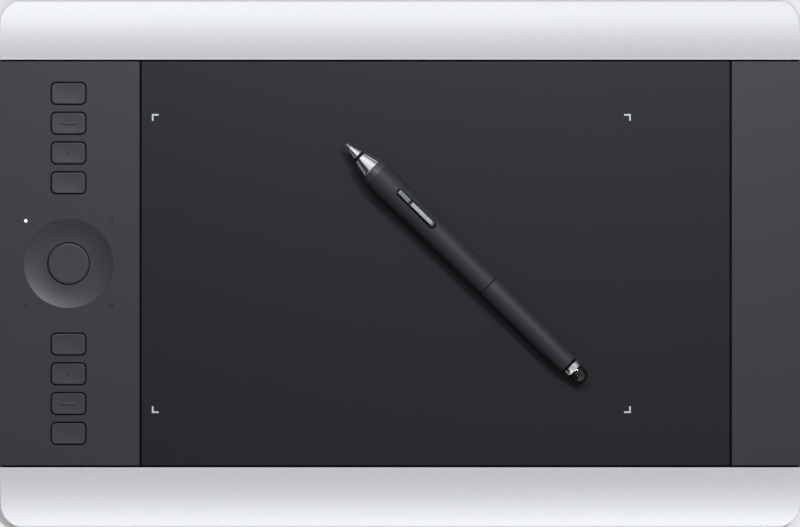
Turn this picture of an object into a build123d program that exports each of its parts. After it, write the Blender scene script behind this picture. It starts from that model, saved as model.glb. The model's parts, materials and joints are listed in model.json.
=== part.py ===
from build123d import *
import math
import os

# A pen drawing tablet with its pen lying on the drawing surface.
# Millimetres. +X runs along the long side, +Y to the far edge, +Z up.
# The origin is the middle of the footprint, on the surface that the feet stand on.

# Casing
length = 380.0
width = 251.0
thickness = 12.0  # from the feet to the crown of the rails
corner_radius = 12.0
floor_bottom = 1.0  # how high the casing stands on its feet
case_wall = 1.8
rail_wall = 1.6
rail_width = 29.0
seam = 0.8  # open seam between rails, panels and drawing surface
nose_radius = 2.4  # upper part of the rounded long edge
keel_radius = 2.6  # lower part of the rounded edge
end_round = 0.8  # rounding of the top edge at the two short ends
seam_round = 0.35  # rounded edges along the seams
window_round = 0.2  # rounded edges of the key windows
part_line = floor_bottom + keel_radius  # where rails and panels meet the tray
slide_gap = 0.15  # clearance of a sliding or pressed piece
fit_gap = 0.05  # clearance of a fixed piece in its hole

# Deck
deck_drop = 0.2  # deck panels below the crown of the rails
surface_drop = 0.1  # drawing surface below the deck panels
panel_wall = 1.6
panel_lip = 1.2  # how far a panel's lips reach below the plate, to the ledges
control_length = 66.7  # control panel, along X
end_length = 33.0  # bare panel at the other end, along X

# Stack below the drawing surface, from the top down
sheet_thickness = 0.6
film_thickness = 0.3
plate_thickness = 1.5
digitizer_thickness = 1.0
shield_thickness = 0.5

# Chassis plate
frame_bottom = 6.0
frame_thickness = 1.2
ledge_inside = 2.2  # how far a ledge reaches in under the deck
ledge_outside = 2.0  # how far a ledge reaches out under a rail
frame_margin = 8.0  # chassis plate beyond the rail's inner edge

# Keys
key_column = 33.0  # from the end of the casing to the middle of the keys
key_length = 15.9
key_width = 9.9
key_radius = 2.1
key_slot_gap = 0.5
key_pitch = 14.1
first_key = 38.2  # from the middle of the ring to the nearest key
keys_each_side = 4
key_proud = 0.2
key_edge = 0.3
key_travel = 0.4
key_flange = 1.2  # how far the retaining flange reaches past the cap
key_flange_thickness = 0.6
mark_length = 7.7
mark_width = 1.6
mark_height = 0.25
stem_radius = 1.5

# Touch ring and its centre button
ring_radius = 21.1
ring_flange_radius = 23.0
ring_flange = 1.0  # thickness below the panel
ring_hole_radius = 10.2
ring_dish = 1.2
ring_lip = 0.6
button_radius = 9.7
button_drop = 0.6  # button below the deck
button_edge = 0.4
button_flange_radius = 11.3
undercut_gap = 0.3
sensor_film = 0.3

# Status lights
light_offset = 20.2
light_radius = 0.8
light_collar = 1.4
led_size = (1.6, 0.8, 0.6)

# Active area markers
active_left = 5.0  # from the left edge of the drawing surface
active_right = 46.9  # from its right edge
active_side = 24.9  # from each long edge
marker_arm = 3.2
marker_stroke = 0.8

# Boards
board_thickness = 1.0
main_board_bottom = 4.2
main_board_length = 52.0
main_board_width = 68.0
board_edge_gap = 3.0  # from the end of the casing to the main board
key_board_length = 47.0
key_board_side = 4.7  # from the edge of the deck
dome_radius = 2.0
dome_height = 0.6
ribbon_thickness = 0.3
ribbon_width = 10.0
ribbon_gap = 1.5  # between ribbons side by side
ribbon_lap = 5.0  # end of a ribbon that lies on its board
ribbon_drop = 2.0  # from the edge of a board to where its ribbon goes down

# Connector and power button in the left end
usb_length = 5.4
usb_width = 7.6
usb_height = 2.6
usb_wall = 0.3
usb_recess = 0.4
power_y = -24.0
power_z = 6.4
power_length = 7.8
power_height = 1.8
power_flange = 1.1
power_flange_thickness = 0.8
power_travel = 0.3

# Bays in the underside
battery_size = (58.0, 42.0, 3.3)
battery_y = -45.0
radio_size = (38.0, 20.0, 3.0)
radio_y = 34.0
bay_end = 21.0  # from the end of the casing to the bays
bay_gap = 1.0
bay_wall = 1.2
door_margin = 2.0  # door face beyond the bay
door_layer = 0.6  # face and flange of a door are this thick each
door_flange = 1.2

# Feet and screws
foot_length = 36.0
foot_width = 10.0
foot_pocket = 0.7
foot_edge = 0.3
foot_from_end = 28.0
foot_from_side = 14.0
case_screw_from_end = 62.0
case_screw_from_side = 15.5
case_boss_top = 4.4
case_boss_radius = 2.8
screw_head_radius = 2.0
screw_head_height = 0.9
screw_radius = 1.0
case_screw_length = 5.0
frame_screw_from_end = 70.0
frame_screw_from_rail = 5.3
inner_head_height = 0.7
inner_head_radius = 1.9
inner_screw_length = 3.0
inner_boss_radius = 2.4
standoff_margin = 5.0

# Pen: distances along the pen are measured from the tip of its nib
pen_tip_x = -25.5
pen_tip_y = 56.5
pen_heading = -44.7  # degrees from +X
pen_tilt = 0.8  # degrees, tail down
pen_roll = 13.0  # degrees that the side switch is turned from straight up
pen_rest_gap = 0.2
nose_start = 2.4
nose_end = 7.8
cone_start = 9.2
cone_end = 17.0
collar_end = 20.5
bulge_at = 26.0
bulge_radius = 7.0
grip_end = 94.6
grip_end_radius = 5.95
grip_seam = 0.4
barrel_end = 148.0
barrel_edge = 0.2
ring_end = 152.0
tail_ring_radius = 4.5
tail_ring_edge = 0.3
eraser_start = 152.5
eraser_end = 159.0
eraser_radius = 3.75
nib_radius = 0.8
nib_end = 21.0
nib_room = 0.5  # behind the nib
chassis_radius = 4.9
chassis_bore = 3.7
rear_chassis_radius = 4.2
chassis_end = 146.0
switch_start = 32.6
switch_length = 25.2
switch_slot = 3.8
switch_gap = 0.3
switch_groove_at = 41.2
switch_groove = 1.0
switch_pivot_at = 42.5
switch_pivot_height = 3.9
trunnion_radius = 0.5
running_gap = 0.05
pen_gap = 0.3  # between pieces that follow each other inside the pen
pen_board_width = 6.4
pen_board_bottom = 0.6
pen_board_thickness = 0.8
contact_top = 3.3
contact_size = (3.0, 2.6)
contact_gap = 0.65  # for the rocker to tip
eraser_stem_radius = 2.8
eraser_stem_end = 144.2
eraser_coil_start = 136.0
eraser_coil_end = 143.5
eraser_coil_bore = 1.2

# Places worked out from the sizes above
half_length = length / 2
half_width = width / 2
deck_top = thickness - deck_drop
surface_top = deck_top - surface_drop
rail_edge = half_width - rail_width
deck_edge = rail_edge - seam
floor_top = floor_bottom + case_wall
frame_top = frame_bottom + frame_thickness
left_end = -half_length
control_edge = left_end + control_length
surface_left = control_edge + seam
end_panel_left = half_length - end_length
surface_right = end_panel_left - seam
panel_bottom = deck_top - panel_wall
ledge_top = panel_bottom - panel_lip
ring_flange_bottom = panel_bottom - ring_flange
button_top = deck_top - button_drop
key_x = left_end + key_column
key_top = deck_top + key_proud
sheet_bottom = surface_top - sheet_thickness
film_bottom = sheet_bottom - film_thickness
plate_bottom = film_bottom - plate_thickness
digitizer_bottom = plate_bottom - digitizer_thickness
shield_bottom = digitizer_bottom - shield_thickness
key_board_top = frame_top + board_thickness
main_board_top = main_board_bottom + board_thickness
board_left = left_end + board_edge_gap
board_right = board_left + main_board_length
key_board_right = key_x + key_board_length / 2
key_board_width = 2 * (deck_edge - key_board_side)
end_wall_inside = half_length - rail_wall
bay_right = half_length - bay_end
sensor_left = surface_left + seam + ledge_inside
sensor_right = surface_right - seam - ledge_inside
sensor_edge = deck_edge - ledge_inside - fit_gap * 6
frame_screw_y = rail_edge + frame_screw_from_rail
case_screw_y = half_width - case_screw_from_side
case_screw_x = half_length - case_screw_from_end
case_screw_columns = (-case_screw_x, -case_screw_x / 3, case_screw_x / 3, case_screw_x)
frame_screw_x = half_length - frame_screw_from_end
frame_screw_columns = (-frame_screw_x, 0, frame_screw_x)

os.makedirs("parts", exist_ok=True)


def save(shape, name):
    """Labels a finished piece and writes it to its own file."""
    shape.label = name
    export_step(shape, f"parts/{name}.step")


def rectangle_between(x_low, x_high, y_low, y_high, mode=Mode.ADD):
    """Draws a rectangle between two corners in the current sketch."""
    with Locations(((x_low + x_high) / 2, (y_low + y_high) / 2)):
        Rectangle(x_high - x_low, y_high - y_low, mode=mode)


def both_sides(columns, offset):
    """Places at the given columns, on both sides of the X axis."""
    return [(x, side * offset) for x in columns for side in (-1, 1)]


def casing_form(inset):
    """The casing's outer form with every face drawn in by inset.

    A section across the tablet gives the flat deck, the falling crowns and the rounded
    long edges. A section along it rounds the short ends, and the plan rounds the corners."""
    crown_run = rail_width + seam / 2 - nose_radius
    crown_drop = thickness - part_line - nose_radius
    slope = 2 * math.degrees(math.atan(crown_drop / crown_run))
    crown_radius = nose_radius + crown_run / math.sin(math.radians(slope))
    crown_centre = (half_width - nose_radius - crown_run, thickness - crown_radius)
    nose_centre = (half_width - nose_radius, part_line)
    keel_centre = (half_width - keel_radius, part_line)
    with BuildPart() as form:
        with BuildSketch(Plane.YZ.offset(inset - half_length)):
            with BuildLine():
                keel = CenterArc(keel_centre, keel_radius - inset, -90, 90)
                nose = CenterArc(nose_centre, nose_radius - inset, 0, 90 - slope)
                crown = CenterArc(crown_centre, crown_radius - inset, 90 - slope, slope)
                Line((0, floor_bottom + inset), keel @ 0)
                if (keel @ 1 - nose @ 0).length > 1e-6:
                    Line(keel @ 1, nose @ 0)
                Line(crown @ 1, (0, thickness - inset))
                mirror(about=Plane.YZ)
            make_face()
        extrude(amount=length - 2 * inset)
        with BuildSketch(Plane.XY):
            RectangleRounded(length - 2 * inset, width - 2 * inset, corner_radius - inset)
        extrude(amount=thickness, mode=Mode.INTERSECT)
        with BuildSketch(Plane.XZ.offset(-half_width)) as end_section:
            rectangle_between(
                inset - half_length, half_length - inset, floor_bottom + inset, thickness - inset
            )
            lower = end_section.vertices().group_by(Axis.Y)[0]
            upper = end_section.vertices().group_by(Axis.Y)[-1]
            fillet(lower, keel_radius - inset)
            if inset < end_round:
                fillet(upper, end_round - inset)
        extrude(amount=width, mode=Mode.INTERSECT)
    return form.part


outer_form = casing_form(0)
tray_form = casing_form(case_wall)
rail_form = casing_form(rail_wall)
boss_form = casing_form(rail_wall / 2)


# --- Casing ---------------------------------------------------------------------------

door_sizes = {"battery": (battery_size, battery_y), "radio": (radio_size, radio_y)}
ribbon_notch = ribbon_width + 2 * bay_gap


def bay_limits(kind):
    """The inside of a bay in the tray: x_low, x_high, y_low, y_high."""
    (size_x, size_y, _), middle = door_sizes[kind]
    reach = size_y / 2 + bay_gap
    return bay_right - size_x - 2 * bay_gap, bay_right, middle - reach, middle + reach


def door_section(kind, gap):
    """Draws a door's section, looking along X: a narrow face below a wider flange."""
    _, _, y_low, y_high = bay_limits(kind)
    face_low, face_high = y_low - door_margin, y_high + door_margin
    face_top = floor_bottom + door_layer
    rectangle_between(face_low - gap, face_high + gap, floor_bottom, face_top)
    rectangle_between(
        face_low - door_flange - gap,
        face_high + door_flange + gap,
        face_top - (0 if gap == 0 else slide_gap / 2),
        face_top + door_layer + gap,
    )


with BuildPart() as bottom_cover:
    add(outer_form)
    add(tray_form, mode=Mode.SUBTRACT)
    split(bisect_by=Plane.XY.offset(part_line), keep=Keep.BOTTOM)
    with BuildSketch(Plane.XY.offset(floor_top)):
        with Locations(*both_sides(case_screw_columns, case_screw_y)):
            Circle(case_boss_radius)
    extrude(amount=case_boss_top - floor_top)
    with BuildSketch(Plane.XY.offset(floor_top)):
        with Locations(*both_sides(frame_screw_columns, frame_screw_y)):
            Circle(inner_boss_radius)
        for kind in door_sizes:
            x_low, x_high, y_low, y_high = bay_limits(kind)
            rectangle_between(
                x_low - bay_wall, x_high + bay_wall, y_low - bay_wall, y_high + bay_wall
            )
            rectangle_between(x_low, x_high, y_low, y_high, mode=Mode.SUBTRACT)
    extrude(amount=frame_bottom - floor_top)
    board_middle = board_left + main_board_length / 2
    standoff_x = main_board_length / 2 - standoff_margin
    standoff_y = main_board_width / 2 - standoff_margin
    standoffs = [(board_middle + a * standoff_x, b * standoff_y) for a in (-1, 1) for b in (-1, 1)]
    with BuildSketch(Plane.XY.offset(floor_top)):
        with Locations(*standoffs):
            Circle(inner_boss_radius)
    extrude(amount=main_board_bottom - floor_top)
    for kind in door_sizes:
        x_low, x_high, y_low, y_high = bay_limits(kind)
        with BuildSketch(Plane.XY.offset(floor_bottom)):
            rectangle_between(x_low, x_high, y_low, y_high)
        extrude(amount=case_wall, mode=Mode.SUBTRACT)
        door_left = x_low - door_margin - slide_gap
        with BuildSketch(Plane.YZ.offset(door_left)):
            door_section(kind, slide_gap)
        extrude(amount=half_length - door_left, mode=Mode.SUBTRACT)
        with BuildSketch(Plane.XY.offset(floor_top)):
            with Locations((x_low, (y_low + y_high) / 2)):
                Rectangle(4 * bay_wall, ribbon_notch)
        extrude(amount=2 * ribbon_thickness, mode=Mode.SUBTRACT)
    foot_x, foot_y = half_length - foot_from_end, half_width - foot_from_side
    with BuildSketch(Plane.XY.offset(floor_bottom)):
        with Locations(*both_sides((-foot_x, foot_x), foot_y)):
            SlotOverall(foot_length + 2 * fit_gap, foot_width + 2 * fit_gap)
    extrude(amount=foot_pocket, mode=Mode.SUBTRACT)
    head_seat = floor_bottom + screw_head_height + 2 * slide_gap
    with BuildSketch(Plane.XY.offset(floor_bottom)):
        with Locations(*both_sides(case_screw_columns, case_screw_y)):
            Circle(screw_head_radius + slide_gap)
    extrude(amount=head_seat - floor_bottom, mode=Mode.SUBTRACT)
    with BuildSketch(Plane.XY.offset(head_seat)):
        with Locations(*both_sides(case_screw_columns, case_screw_y)):
            Circle(screw_radius + slide_gap)
    extrude(amount=case_boss_top - head_seat, mode=Mode.SUBTRACT)
    inner_hole_depth = inner_screw_length + slide_gap
    with BuildSketch(Plane.XY.offset(frame_top)):
        with Locations(*both_sides(frame_screw_columns, frame_screw_y)):
            Circle(screw_radius + fit_gap)
    extrude(amount=-inner_hole_depth, mode=Mode.SUBTRACT)
    with BuildSketch(Plane.XY.offset(main_board_top)):
        with Locations(*standoffs):
            Circle(screw_radius + fit_gap)
    extrude(amount=-inner_hole_depth, mode=Mode.SUBTRACT)
save(bottom_cover.part, "bottom_cover")

with BuildPart() as rail_bosses:
    with BuildSketch(Plane.XY.offset(case_boss_top)):
        with Locations(*[(x, case_screw_y) for x in case_screw_columns]):
            Circle(case_boss_radius)
    extrude(amount=thickness - case_boss_top)
    add(boss_form, mode=Mode.INTERSECT)
    with BuildSketch(Plane.XY.offset(case_boss_top)):
        with Locations(*[(x, case_screw_y) for x in case_screw_columns]):
            Circle(screw_radius + fit_gap)
    extrude(amount=head_seat + case_screw_length + slide_gap - case_boss_top, mode=Mode.SUBTRACT)

with BuildPart() as rear_rail:
    add(outer_form)
    add(rail_form, mode=Mode.SUBTRACT)
    split(bisect_by=Plane.XY.offset(part_line), keep=Keep.TOP)
    split(bisect_by=Plane.XZ.offset(-rail_edge), keep=Keep.BOTTOM)
    with BuildSketch(Plane.XY.offset(ledge_top)):
        rectangle_between(-end_wall_inside, end_wall_inside, rail_edge, rail_edge + rail_wall)
    extrude(amount=thickness - rail_wall / 2 - ledge_top)
    add(rail_bosses.part)
    seam_edges = rear_rail.edges().filter_by(Axis.X).filter_by_position(
        Axis.Y, rail_edge - fit_gap, rail_edge + fit_gap
    )
    fillet(seam_edges.sort_by(Axis.Z)[-1], seam_round)
save(rear_rail.part, "rear_rail")

with BuildPart() as front_rail:
    mirror(rear_rail.part, about=Plane.XZ)
save(front_rail.part, "front_rail")

key_rows = [side * (first_key + key_pitch * n) for side in (1, -1) for n in range(keys_each_side)]
key_rows.sort(reverse=True)
lights = [(key_x + a * light_offset, b * light_offset) for a in (-1, 1) for b in (-1, 1)]
lit_light = (key_x - light_offset, light_offset)


def deck_panel(x_low, x_high):
    """A deck panel between two places along X: a plate with a skirt at the casing's end.

    The plate has short lips that stand on the chassis ledges, and rounded seam edges."""
    with BuildPart() as panel:
        add(outer_form)
        with BuildSketch(Plane.XY.offset(part_line)):
            rectangle_between(x_low, x_high, -deck_edge, deck_edge)
        extrude(amount=deck_top - part_line, mode=Mode.INTERSECT)
        top_edges = panel.edges().group_by(Axis.Z)[-1]
        fillet(top_edges.sort_by(lambda edge: abs(edge.center().X))[:3], seam_round)
        inside_low, inside_high = max(x_low, -end_wall_inside), min(x_high, end_wall_inside)
        with BuildSketch(Plane.XY.offset(part_line)):
            rectangle_between(inside_low, inside_high, -deck_edge, deck_edge)
        extrude(amount=ledge_top - part_line, mode=Mode.SUBTRACT)
        with BuildSketch(Plane.XY.offset(ledge_top)):
            rectangle_between(
                max(x_low + rail_wall, inside_low),
                min(x_high - rail_wall, inside_high),
                rail_wall - deck_edge,
                deck_edge - rail_wall,
            )
        extrude(amount=panel_bottom - ledge_top, mode=Mode.SUBTRACT)
    return panel.part


control_blank = deck_panel(left_end, control_edge)
with BuildPart() as control_panel:
    add(control_blank)
    with BuildSketch(Plane.XY.offset(panel_bottom)):
        with Locations(*[(key_x, y) for y in key_rows]):
            RectangleRounded(
                key_length + 2 * key_slot_gap,
                key_width + 2 * key_slot_gap,
                key_radius + key_slot_gap,
            )
        with Locations(*lights):
            Circle(light_radius + fit_gap)
    extrude(amount=panel_wall, mode=Mode.SUBTRACT)
    top_edges = control_panel.edges().group_by(Axis.Z)[-1]
    window_edges = top_edges.filter_by(
        lambda edge: edge.length < control_length / 2
        and left_end + rail_wall < edge.center().X < control_edge - rail_wall
    )
    chamfer(window_edges, window_round)
    with BuildSketch(Plane.XY.offset(panel_bottom)):
        with Locations((key_x, 0)):
            Circle(ring_radius + fit_gap)
    extrude(amount=panel_wall, mode=Mode.SUBTRACT)
    with BuildSketch(Plane.YZ.offset(left_end)):
        with Locations((0, main_board_top + usb_height / 2)):
            Rectangle(usb_width + 4 * slide_gap, usb_height + 4 * slide_gap)
        with Locations((power_y, power_z)):
            SlotOverall(power_length + 2 * slide_gap, power_height + 2 * slide_gap)
    extrude(amount=rail_wall, mode=Mode.SUBTRACT)
save(control_panel.part, "control_panel")

save(deck_panel(end_panel_left, half_length), "end_panel")

# The chassis plate carries the deck: ledges stand on it below every seam.
frame_end = end_wall_inside - slide_gap
frame_edge = rail_edge + frame_margin
key_ribbon_y = ribbon_width + ribbon_gap
sensor_ribbon_y = -1.5 * key_ribbon_y
ribbon_drop_x = key_board_right + ribbon_drop
sensor_drop_x = sensor_left + ribbon_drop
with BuildPart() as mid_frame:
    with BuildSketch(Plane.XY.offset(frame_bottom)):
        rectangle_between(-frame_end, frame_end, -frame_edge, frame_edge)
    extrude(amount=frame_thickness)
    with BuildSketch(Plane.XY.offset(frame_top)):
        for side in (-1, 1):
            inner, outer = deck_edge - ledge_inside, rail_edge + ledge_outside
            low, high = sorted((side * inner, side * outer))
            rectangle_between(-frame_end, frame_end, low, high)
        for x_low in (control_edge, surface_right):
            rectangle_between(
                x_low - ledge_inside, x_low + seam + ledge_inside, -deck_edge, deck_edge
            )
    extrude(amount=ledge_top - frame_top)
    with BuildSketch(Plane.XY.offset(frame_top)):
        with Locations(((sensor_left + sensor_right) / 2, 0)):
            with GridLocations(0, sensor_edge / 3, 1, 5):
                Rectangle(sensor_right - sensor_left, frame_thickness)
    extrude(amount=shield_bottom - frame_top)
    with BuildSketch(Plane.XY.offset(frame_bottom)):
        with Locations(*both_sides(frame_screw_columns, frame_screw_y)):
            Circle(screw_radius + slide_gap)
        rectangle_between(
            -frame_end,
            board_left + 2 * usb_length,
            power_y - power_length,
            usb_width + slide_gap,
        )
        with Locations((ribbon_drop_x, key_ribbon_y), (sensor_drop_x, sensor_ribbon_y)):
            Rectangle(4 * frame_thickness, ribbon_notch)
    extrude(amount=ledge_top - frame_bottom, mode=Mode.SUBTRACT)
save(mid_frame.part, "mid_frame")


# --- Drawing surface ------------------------------------------------------------------

marker_left = surface_left + active_left
marker_right = surface_right - active_right
marker_edge = deck_edge - active_side
marker_corners = [
    (marker_left, marker_edge, 1, -1),
    (marker_left, -marker_edge, 1, 1),
    (marker_right, marker_edge, -1, -1),
    (marker_right, -marker_edge, -1, 1),
]


def marker_sketch(gap):
    """Draws the four L-shaped corner markers, widened by gap, in the current sketch."""
    for x, y, inward_x, inward_y in marker_corners:
        for arm_x, arm_y in ((marker_arm, marker_stroke), (marker_stroke, marker_arm)):
            low_x, high_x = sorted((x - inward_x * gap, x + inward_x * (arm_x + gap)))
            low_y, high_y = sorted((y - inward_y * gap, y + inward_y * (arm_y + gap)))
            rectangle_between(low_x, high_x, low_y, high_y)


surface_layers = [
    ("surface_sheet", sheet_bottom, sheet_thickness, surface_left, surface_right, deck_edge),
    ("touch_film", film_bottom, film_thickness, sensor_left, sensor_right, sensor_edge),
    ("surface_plate", plate_bottom, plate_thickness, surface_left, surface_right, deck_edge),
]
for name, bottom, layer, x_low, x_high, edge in surface_layers:
    with BuildPart() as surface_layer:
        with BuildSketch(Plane.XY.offset(bottom)):
            rectangle_between(x_low, x_high, -edge, edge)
        extrude(amount=layer)
        if name == "surface_sheet":
            fillet(surface_layer.edges().group_by(Axis.Z)[-1], seam_round)
        with BuildSketch(Plane.XY.offset(bottom)):
            marker_sketch(fit_gap)
        extrude(amount=layer, mode=Mode.SUBTRACT)
    save(surface_layer.part, name)

with BuildPart() as corner_lights:
    with BuildSketch(Plane.XY.offset(plate_bottom)):
        marker_sketch(0)
    extrude(amount=surface_top - plate_bottom)
save(corner_lights.part, "corner_lights")

with BuildPart() as digitizer_board:
    with BuildSketch(Plane.XY.offset(digitizer_bottom)):
        rectangle_between(sensor_left, sensor_right, -sensor_edge, sensor_edge)
    extrude(amount=digitizer_thickness)
save(digitizer_board.part, "digitizer_board")

with BuildPart() as shield_plate:
    with BuildSketch(Plane.XY.offset(shield_bottom)):
        rectangle_between(sensor_drop_x + ribbon_drop, sensor_right, -sensor_edge, sensor_edge)
    extrude(amount=shield_thickness)
save(shield_plate.part, "shield_plate")


# --- Keys, ring and lights ------------------------------------------------------------

flange_top = panel_bottom
bar_keys = (1, len(key_rows) - 2)
dot_keys = (2, len(key_rows) - 3)
for number, key_y in enumerate(key_rows):
    with BuildPart() as key:
        with BuildSketch(Plane.XY.offset(flange_top)):
            with Locations((key_x, key_y)):
                RectangleRounded(key_length, key_width, key_radius)
        extrude(amount=key_top - flange_top)
        fillet(key.edges().group_by(Axis.Z)[-1], key_edge)
        with BuildSketch(Plane.XY.offset(flange_top - key_flange_thickness)):
            with Locations((key_x, key_y)):
                RectangleRounded(
                    key_length + 2 * key_flange, key_width + 2 * key_flange, key_radius
                )
        extrude(amount=key_flange_thickness)
        stem_bottom = key_board_top + dome_height + key_travel + fit_gap
        with BuildSketch(Plane.XY.offset(stem_bottom)):
            with Locations((key_x, key_y)):
                Circle(stem_radius)
        extrude(amount=flange_top - stem_bottom)
        if number in bar_keys:
            with BuildSketch(Plane.XY.offset(key_top)):
                with Locations((key_x, key_y)):
                    SlotOverall(mark_length, mark_width)
            extrude(amount=mark_height)
        if number in dot_keys:
            with BuildSketch(Plane.XY.offset(key_top)):
                with Locations((key_x, key_y)):
                    Circle(mark_width / 2)
            extrude(amount=mark_height)
    save(key.part, f"key_{number + 1}")

ring_section = Plane((key_x, 0, 0), x_dir=(1, 0, 0), z_dir=(0, -1, 0))
ring_axis = Axis((key_x, 0, 0), (0, 0, 1))
ring_inner_top = deck_top - ring_dish
undercut_top = ring_inner_top - ring_lip
undercut_radius = button_flange_radius + undercut_gap
with BuildPart() as touch_ring:
    with BuildSketch(ring_section):
        with BuildLine():
            dish = Spline(
                (ring_radius, deck_top),
                (ring_hole_radius, ring_inner_top),
                tangents=[(-(ring_radius - ring_hole_radius), -2 * ring_dish), (-1, 0)],
            )
            Polyline(
                dish @ 1,
                (ring_hole_radius, undercut_top),
                (undercut_radius, undercut_top),
                (undercut_radius, ring_flange_bottom),
                (ring_flange_radius, ring_flange_bottom),
                (ring_flange_radius, panel_bottom),
                (ring_radius, panel_bottom),
                dish @ 0,
            )
        make_face()
    revolve(axis=ring_axis)
save(touch_ring.part, "touch_ring")

with BuildPart() as ring_button:
    with BuildSketch(Plane.XY.offset(undercut_top)):
        with Locations((key_x, 0)):
            Circle(button_radius)
    extrude(amount=button_top - undercut_top)
    chamfer(ring_button.edges().group_by(Axis.Z)[-1], button_edge)
    with BuildSketch(Plane.XY.offset(undercut_top - key_flange_thickness)):
        with Locations((key_x, 0)):
            Circle(button_flange_radius)
    extrude(amount=key_flange_thickness)
    with BuildSketch(Plane.XY.offset(stem_bottom)):
        with Locations((key_x, 0)):
            Circle(stem_radius)
    extrude(amount=undercut_top - stem_bottom)
save(ring_button.part, "ring_button")

with BuildPart() as ring_sensor:
    with BuildSketch(Plane.XY.offset(ring_flange_bottom - sensor_film)):
        with Locations((key_x, 0)):
            Circle(ring_radius - seam)
            Circle(undercut_radius + seam, mode=Mode.SUBTRACT)
    extrude(amount=sensor_film)
save(ring_sensor.part, "ring_sensor")

with BuildPart() as key_board:
    with BuildSketch(Plane.XY.offset(frame_top)):
        with Locations((key_x, 0)):
            Rectangle(key_board_length, key_board_width)
    extrude(amount=board_thickness)
save(key_board.part, "key_board")

with BuildPart() as key_domes:
    with BuildSketch(Plane.XY.offset(key_board_top)):
        with Locations(*[(key_x, y) for y in key_rows + [0]]):
            Circle(dome_radius)
    extrude(amount=dome_height)
    fillet(key_domes.edges().group_by(Axis.Z)[-1], dome_height / 2)
save(key_domes.part, "key_domes")

light_bottom = key_board_top + led_size[2] + fit_gap


def light_pipe(places, name):
    """Writes light pipes at the given places: a pin with a collar below the panel."""
    with BuildPart() as pipe:
        with BuildSketch(Plane.XY.offset(light_bottom)):
            with Locations(*places):
                Circle(light_radius)
        extrude(amount=deck_top - light_bottom)
        with BuildSketch(Plane.XY.offset(panel_bottom - key_flange_thickness)):
            with Locations(*places):
                Circle(light_collar)
        extrude(amount=key_flange_thickness)
    save(pipe.part, name)


light_pipe([lit_light], "status_light_lit")
light_pipe([place for place in lights if place != lit_light], "status_lights")

with BuildPart() as status_leds:
    with BuildSketch(Plane.XY.offset(key_board_top)):
        with Locations(*lights):
            Rectangle(led_size[0], led_size[1])
    extrude(amount=led_size[2])
save(status_leds.part, "status_leds")


# --- Electronics ----------------------------------------------------------------------

with BuildPart() as main_board:
    with BuildSketch(Plane.XY.offset(main_board_bottom)):
        rectangle_between(board_left, board_right, -main_board_width / 2, main_board_width / 2)
        with Locations(*standoffs):
            Circle(screw_radius + slide_gap, mode=Mode.SUBTRACT)
    extrude(amount=board_thickness)
save(main_board.part, "main_board")

# Chips on the main board: place on the board, size along X and Y.
chip_height = 0.6
chips = [
    ((2.0, 4.0), (9.0, 9.0)),
    ((14.0, -14.0), (6.0, 6.0)),
    ((-6.0, 18.0), (7.0, 5.0)),
    ((4.0, -24.0), (5.0, 4.0)),
    ((-12.0, -10.0), (4.0, 4.0)),
    ((16.0, 8.0), (3.2, 2.5)),
]
with BuildPart() as main_board_chips:
    for (x, y), (size_x, size_y) in chips:
        with BuildSketch(Plane.XY.offset(main_board_top)):
            with Locations((board_middle + x, y)):
                Rectangle(size_x, size_y)
        extrude(amount=chip_height)
save(main_board_chips.part, "main_board_chips")

usb_left = left_end + usb_recess
usb_bottom = main_board_top
with BuildPart() as usb_socket:
    with BuildSketch(Plane.YZ.offset(usb_left)):
        with Locations((0, usb_bottom + usb_height / 2)):
            Rectangle(usb_width, usb_height)
    extrude(amount=usb_length)
    with BuildSketch(Plane.YZ.offset(usb_left)):
        with Locations((0, usb_bottom + usb_height / 2)):
            Rectangle(usb_width - 2 * usb_wall, usb_height - 2 * usb_wall)
    extrude(amount=usb_length - usb_wall, mode=Mode.SUBTRACT)
save(usb_socket.part, "usb_socket")

with BuildPart() as usb_tongue:
    with BuildSketch(Plane.YZ.offset(usb_left + usb_length - usb_wall)):
        with Locations((0, usb_bottom + usb_height * 0.6)):
            Rectangle(usb_width / 2, usb_height / 4)
    extrude(amount=-usb_length * 0.75)
save(usb_tongue.part, "usb_tongue")

with BuildPart() as power_button:
    with BuildSketch(Plane.YZ.offset(left_end)):
        with Locations((power_y, power_z)):
            SlotOverall(power_length, power_height)
    extrude(amount=rail_wall)
    with BuildSketch(Plane.YZ.offset(left_end + rail_wall)):
        with Locations((power_y, power_z)):
            Rectangle(power_length + 2 * power_flange, power_height + power_flange)
    extrude(amount=power_flange_thickness)
save(power_button.part, "power_button")

switch_left = left_end + rail_wall + power_flange_thickness + power_travel + slide_gap
with BuildPart() as power_switch:
    with BuildSketch(Plane.YZ.offset(max(switch_left, board_left))):
        with Locations((power_y, main_board_top + power_height / 2)):
            Rectangle(power_length - power_flange, power_height)
    extrude(amount=board_edge_gap)
save(power_switch.part, "power_switch")

with BuildPart() as battery:
    x_low, x_high, y_low, y_high = bay_limits("battery")
    with BuildSketch(Plane.XY.offset(floor_bottom + 2 * door_layer + 2 * slide_gap)):
        rectangle_between(x_low + bay_gap, x_high - bay_gap, y_low + bay_gap, y_high - bay_gap)
    extrude(amount=battery_size[2])
    fillet(battery.edges().filter_by(Axis.X), battery_size[2] / 4)
save(battery.part, "battery")

with BuildPart() as wireless_module:
    x_low, x_high, y_low, y_high = bay_limits("radio")
    with BuildSketch(Plane.XY.offset(floor_bottom + 2 * door_layer + 2 * slide_gap)):
        rectangle_between(x_low + bay_gap, x_high - bay_gap, y_low + bay_gap, y_high - bay_gap)
    extrude(amount=radio_size[2])
    chamfer(wireless_module.edges().filter_by(Axis.Z), bay_gap)
save(wireless_module.part, "wireless_module")

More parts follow.
